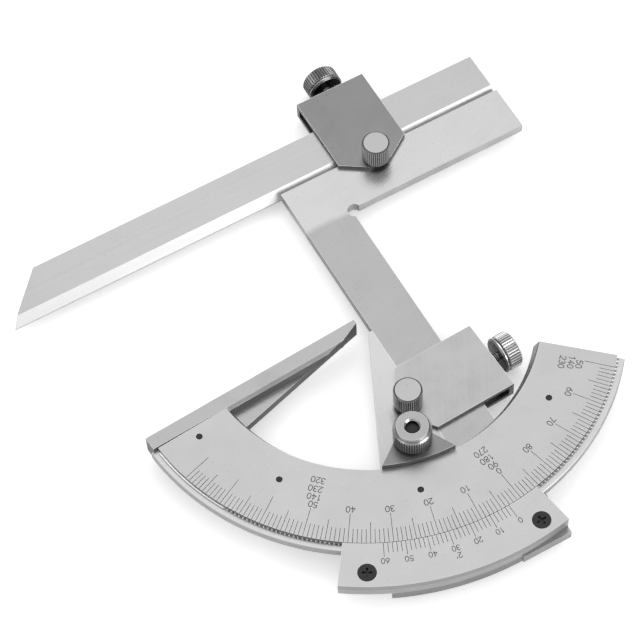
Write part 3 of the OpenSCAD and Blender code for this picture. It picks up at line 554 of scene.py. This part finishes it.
FIGURES = {
    "0": [arc(0.3, 0.5, 0.3, 0.5, 0, 360, 28)],
    "1": [[(0.12, 0.78), (0.34, 1.0), (0.34, 0.0)]],
    "2": [arc(0.3, 0.72, 0.28, 0.28, 170, -40, 16) + [(0.0, 0.0), (0.6, 0.0)]],
    "3": [arc(0.28, 0.75, 0.26, 0.25, 150, -90, 16), arc(0.28, 0.27, 0.3, 0.27, 90, -150, 16)],
    "4": [[(0.42, 0.0), (0.42, 1.0), (0.0, 0.3), (0.6, 0.3)]],
    "5": [[(0.54, 1.0), (0.1, 1.0), (0.05, 0.55)] + arc(0.28, 0.31, 0.3, 0.31, 125, -145, 18)],
    "6": [arc(0.3, 0.3, 0.3, 0.3, 0, 360, 24), [(0.03, 0.42), (0.38, 1.0)]],
    "7": [[(0.0, 1.0), (0.58, 1.0), (0.2, 0.0)]],
    "8": [arc(0.3, 0.76, 0.24, 0.24, 0, 360, 22), arc(0.3, 0.26, 0.3, 0.27, 0, 360, 24)],
    "9": [arc(0.3, 0.7, 0.3, 0.3, 0, 360, 24), [(0.57, 0.58), (0.22, 0.0)]],
    "'": [[(0.1, 1.0), (0.1, 0.72)]],
}
FIGURE_W = 0.6
FIGURE_GAP = 0.2
print("figures:", "".join(FIGURES))

# %% [markdown]
# ## From a stroke to paint
# A stroke is a line of points. Its two sides run beside it at half the tool's
# width, and meet in a corner where the line turns. The paint is the thin strip
# between the sides. It stands a hair above the face, so that it is always seen, and
# reaches a little below it.

# %% From a stroke to paint
PAINT_TOP = SCALE_Z + 0.006 * MM
PAINT_LOW = SCALE_Z - 0.03 * MM
SHARPEST_CORNER = 0.45
TINY = 1e-6


def stroke_sides(points, closed, half):
    """Pair up the left and right side at each point; open ends reach half a width further."""
    pairs = []
    for i, p in enumerate(points):
        before = points[i - 1] if (closed or i) else None
        after = points[(i + 1) % len(points)] if (closed or i < len(points) - 1) else None
        arrive = (p - before).normalized() if before is not None else (after - p).normalized()
        leave = (after - p).normalized() if after is not None else arrive
        mid = arrive + leave
        mid = mid.normalized() if mid.length > TINY else arrive
        normal = Vector((-mid.y, mid.x))
        reach = half / max(SHARPEST_CORNER, abs(normal.dot(Vector((-arrive.y, arrive.x)))))
        end = Vector((0, 0))
        if before is None:
            end = -arrive * half
        if after is None:
            end = leave * half
        pairs.append((p + normal * reach + end, p - normal * reach + end))
    return pairs


def add_stroke(mesh, points, place_point, half):
    closed = (Vector(points[0]) - Vector(points[-1])).length < TINY
    line = [Vector(p) for p in (points[:-1] if closed else points)]
    rings = []
    for sides in stroke_sides(line, closed, half):
        left, right = [place_point(p) for p in sides]
        corners = [(left, PAINT_TOP), (right, PAINT_TOP), (right, PAINT_LOW), (left, PAINT_LOW)]
        rings.append([mesh.verts.new((c.x, c.y, z)) for c, z in corners])
    following = rings[1:] + rings[:1] if closed else rings[1:]
    for a, b in zip(rings, following):
        for k in range(4):
            mesh.faces.new((a[k], a[(k + 1) % 4], b[(k + 1) % 4], b[k]))
    if not closed:
        mesh.faces.new(rings[0][::-1])
        mesh.faces.new(rings[-1])


print("paint from", round(PAINT_LOW / MM, 3), "to", round(PAINT_TOP / MM, 3), "mm")

# %% [markdown]
# ## From figures to a finished piece
# A number is centred on its direction from the scale's centre, or moved over by a
# shift, and its top is towards the rim. All numbers of one plate become one piece.
# The piece rides on the body whose plate carries it, and its finish says which kind of surface it is.

# %% From figures to a finished piece
STROKE_HALF = 0.062


def add_label(mesh, text, radius, direction, height, shift=0.0):
    out = Vector((math.cos(direction), math.sin(direction)))
    read = Vector((math.sin(direction), -math.cos(direction)))
    x = shift / height - (FIGURE_W * len(text) + FIGURE_GAP * (len(text) - 1)) / 2
    for figure in text:
        def place_point(p, x=x):
            q = Vector((p[0] + x, p[1] - 0.5)) * height
            return out * (radius + q.y) + read * q.x

        for stroke in FIGURES[figure]:
            add_stroke(mesh, stroke, place_point, STROKE_HALF)
        x += FIGURE_W + FIGURE_GAP


def finish_piece(mesh, name, finish, body):
    bmesh.ops.recalc_face_normals(mesh, faces=mesh.faces)
    data = bpy.data.meshes.new(name)
    mesh.to_mesh(data)
    mesh.free()
    data.materials.append(finishes[finish])
    obj = bpy.data.objects.new(name, data)
    bpy.context.scene.collection.objects.link(obj)
    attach(obj, body)
    print(name, "has", len(data.polygons), "faces and rides on", body)


print("stroke width:", 2 * STROKE_HALF, "of a figure's height")

# %% [markdown]
# ## Numbers on the scale
# The scale is read in four ranges, so at some lines up to four numbers stand one
# above the other. They are read clockwise from above. Beside the end of the scale
# the numbers move over to stay clear of it.

# %% Numbers on the scale
ROW_SHARES = [0.861, 0.829, 0.794, 0.756]
ROW_SHIFTS_MM = {-40: [1.3, 1.2, 1.7], 0: [-0.1, 0.15, 0.4, 0.45], 50: [-0.3, 0.0, 0.25, 0.2]}
SCALE_LABELS = {-40: ["50", "140", "230"], -30: ["60"], -20: ["70"], -10: ["80"],
                0: ["0", "90", "180", "270"], 10: ["10"], 20: ["20"], 30: ["30"], 40: ["40"],
                50: ["50", "140", "230", "320"]}
FIGURE_H = 1.62 * MM
mesh = bmesh.new()
for degrees, rows in SCALE_LABELS.items():
    shifts = ROW_SHIFTS_MM.get(degrees, [0.0])
    for share, text, shift in zip(ROW_SHARES, rows, shifts):
        add_label(mesh, text, SCALE_R * share, ZERO_DIR - math.radians(degrees), FIGURE_H, shift * MM)
finish_piece(mesh, "scale_numbers", "number_paint", "base")

# %% [markdown]
# ## Numbers on the vernier
# The vernier divides 29 degrees into 30 parts, so one part is two minutes short of
# a degree. Its numbers count the minutes, and the mark in the middle gives the
# value of one step. They turn with the sector, so they ride on its body.

# %% Numbers on the vernier
VERNIER_PARTS = 30
PARTS_PER_NUMBER = 5
VERNIER_ARC = math.radians(29)
VERNIER_ZERO = ZERO_DIR - READING
VERNIER_ROW = SCALE_R * 1.078
STEP_ROW = SCALE_R * 1.11
SMALL_FIGURE_H = 1.45 * MM
VERNIER_SHIFT = -0.2 * MM
mesh = bmesh.new()
for part in range(0, VERNIER_PARTS + 1, PARTS_PER_NUMBER):
    direction = VERNIER_ZERO - VERNIER_ARC * part / VERNIER_PARTS
    add_label(mesh, str(2 * part), VERNIER_ROW, direction, SMALL_FIGURE_H, VERNIER_SHIFT)
add_label(mesh, "2'", STEP_ROW, VERNIER_ZERO - VERNIER_ARC / 2, SMALL_FIGURE_H)
finish_piece(mesh, "vernier_numbers", "number_paint", "sector")

# %% [markdown]
# ## Threads on the side screws
# Between each clamp block and its knob a short piece of the screw shows. The solid
# has a plain stem there, so a sleeve with thread crests is laid round it. The
# crests stay lower than the clearance of the hole that the screw goes through.

# %% Threads on the side screws
STEM_R = 1.2 * MM
PITCH = 0.5 * MM
CREST = 0.03 * MM
RIDGE_HALF = 0.4 * PITCH
BLOCK_DEPTH = 26.2 * MM
NECK = 1.8 * MM
STEPS_PER_TURN = 32
RIDGE = [(STEM_R - CREST, -RIDGE_HALF), (STEM_R + CREST, 0.0), (STEM_R - CREST, RIDGE_HALF)]


def add_thread(mesh, base, along, length):
    side = Vector((-along.y, along.x, 0))
    other = along.cross(side)
    rows = []
    for i in range(int(length / PITCH * STEPS_PER_TURN) + 1):
        angle = 2 * math.pi * i / STEPS_PER_TURN
        out = side * math.cos(angle) + other * math.sin(angle)
        centre = base + along * (PITCH * i / STEPS_PER_TURN)
        rows.append([mesh.verts.new(centre + out * radius + along * offset) for radius, offset in RIDGE])
    for a, b in zip(rows, rows[1:]):
        for k in range(3):
            mesh.faces.new((a[k], a[(k + 1) % 3], b[(k + 1) % 3], b[k]))
    mesh.faces.new(rows[0][::-1])
    mesh.faces.new(rows[-1])


for name in SIDE_ANGLES:
    point, axis, _ = knob_axis(name)
    along = Vector(axis)
    mesh = bmesh.new()
    add_thread(mesh, Vector(point) + along * (BLOCK_DEPTH - PITCH), along, NECK + PITCH)
    finish_piece(mesh, name.replace("screw", "thread"), "hidden_steel", name)

# %% [markdown]
# ## Camera
# The photograph was taken with a long lens from above, a little to the left of the
# base rule's normal. The camera's place and turn were solved from the one degree
# lines of the scale, whose true angles are known.

# %% Camera
camera_data = bpy.data.cameras.new("photo_camera")
camera_data.sensor_width = 36.0
camera_data.lens = 153.482
camera_data.clip_start = 0.01
camera_data.clip_end = 20.0
camera = bpy.data.objects.new("photo_camera", camera_data)
camera.location = Vector((-191.489, -314.658, 627.928)) * MM
camera.rotation_euler = Euler([math.radians(a) for a in (30.5964, 1.9424, -32.6491)], "XYZ")
bpy.context.scene.collection.objects.link(camera)
bpy.context.scene.camera = camera
print("camera lens:", camera_data.lens)

# %% [markdown]
# ## Floor
# The tool lies on a plain white floor that reaches past the picture. The floor
# glows a little, but only where the camera sees it, so the paper looks white
# without lighting the steel from below.

# %% Floor
FLOOR_HALF = 3.0
FLOOR_TOP = FLOOR_Z - 0.02 * MM
FLOOR_GLOW = 0.40
floor_mesh = bmesh.new()
signs = ((-1, -1), (1, -1), (1, 1), (-1, 1))
corners = [floor_mesh.verts.new((x * FLOOR_HALF, y * FLOOR_HALF, FLOOR_TOP)) for x, y in signs]
floor_mesh.faces.new(corners)
floor_data = bpy.data.meshes.new("floor")
floor_mesh.to_mesh(floor_data)
floor_mesh.free()
floor = bpy.data.objects.new("floor", floor_data)
bpy.context.scene.collection.objects.link(floor)
tree, diffuse = new_material("white_floor")
set_inputs(tree, diffuse, {"Base Color": grey(0.9), "Roughness": 0.9, "Specular IOR Level": 0.0})
glow = add_node(tree, "ShaderNodeEmission", {"Color": grey(1.0), "Strength": FLOOR_GLOW})
both = add_node(tree, "ShaderNodeAddShader", {0: diffuse.outputs[0], 1: glow.outputs[0]})
seen = add_node(tree, "ShaderNodeLightPath").outputs["Is Camera Ray"]
pick = add_node(tree, "ShaderNodeMixShader", {0: seen, 1: diffuse.outputs[0], 2: both.outputs[0]})
set_inputs(tree, tree.nodes["Material Output"], {"Surface": pick.outputs[0]})
floor_data.materials.append(finishes["white_floor"])
print("floor at", round(FLOOR_TOP / MM, 2), "mm")

# %% [markdown]
# ## Sky
# Metal shows what it mirrors, so most of the light is a large soft sky. It is
# darker near the horizon, which gives the sloping faces a tone of their own. The
# camera itself sees plain white, like the paper behind the photographed tool.

# %% Sky
world = bpy.data.worlds.new("studio")
bpy.context.scene.world = world
world.use_nodes = True
tree = world.node_tree
tree.nodes.clear()
coords = add_node(tree, "ShaderNodeTexCoord")
axes = add_node(tree, "ShaderNodeSeparateXYZ", {0: coords.outputs["Generated"]})
rise = add_node(tree, "ShaderNodeMapRange", {"Value": axes.outputs["Z"], "From Min": 0.0, "From Max": 0.75,
                                             "To Min": 0.30, "To Max": 0.85})
sky = add_node(tree, "ShaderNodeBackground", {"Color": as_grey(tree, rise.outputs[0]), "Strength": 1.0})
white = add_node(tree, "ShaderNodeBackground", {"Color": grey(1.0), "Strength": 1.0})
seen = add_node(tree, "ShaderNodeLightPath").outputs["Is Camera Ray"]
mix = add_node(tree, "ShaderNodeMixShader", {0: seen, 1: sky.outputs[0], 2: white.outputs[0]})
add_node(tree, "ShaderNodeOutputWorld", {"Surface": mix.outputs[0]})
print("sky nodes:", len(tree.nodes))

# %% [markdown]
# ## Lamps
# Three square soft boxes stand round the tool and look at the scale's centre. The
# front one is low, so that the bevelled edge of the rule mirrors it and the flat
# faces hardly do.

# %% Lamps
def soft_lamp(name, place, size, power):
    data = bpy.data.lights.new(name, "AREA")
    data.shape = "SQUARE"
    data.size = size
    data.energy = power
    lamp = bpy.data.objects.new(name, data)
    lamp.location = place
    lamp.rotation_euler = (-Vector(place)).to_track_quat("-Z", "Y").to_euler()
    bpy.context.scene.collection.objects.link(lamp)
    print(name, "with", power, "watts")


soft_lamp("softbox_top", place=(0.25, 0.45, 1.0), size=0.7, power=1.7)
soft_lamp("softbox_left", place=(-0.9, -0.1, 0.7), size=0.6, power=0.8)
soft_lamp("softbox_front", place=(0.42, -1.0, 0.36), size=0.75, power=5.2)

# %% [markdown]
# ## Picture settings
# The plain view transform keeps white paper white.

# %% Picture settings
bpy.context.scene.view_settings.view_transform = "Standard"
